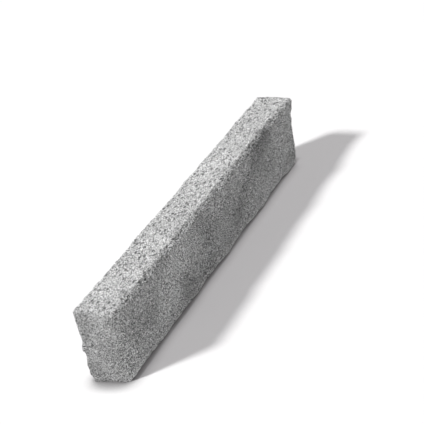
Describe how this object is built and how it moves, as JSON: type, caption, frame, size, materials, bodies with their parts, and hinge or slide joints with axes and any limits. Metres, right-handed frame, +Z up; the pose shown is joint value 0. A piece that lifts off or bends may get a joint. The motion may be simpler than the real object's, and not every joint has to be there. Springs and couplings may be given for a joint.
{
  "type": "rough-hewn edging block",
  "caption": "Long narrow block of grey granite-like stock, cast or split in one piece, with a flat base, rolling pitted faces and nicked arrises, for edging beds, paths and steps.",
  "frame": {"origin": "middle of the flat base that the block rests on", "axes": "+X along the block from its near end to its far end, +Y across it from its front to its back, +Z up"},
  "size_m": [1.018, 0.1, 0.1806],
  "materials": {
    "granite_grey": "rough split face, matt, mid-grey with darker pits and paler grains"
  },
  "bodies": {
    "root": {"block": "granite_grey"}
  },
  "joints": []
}
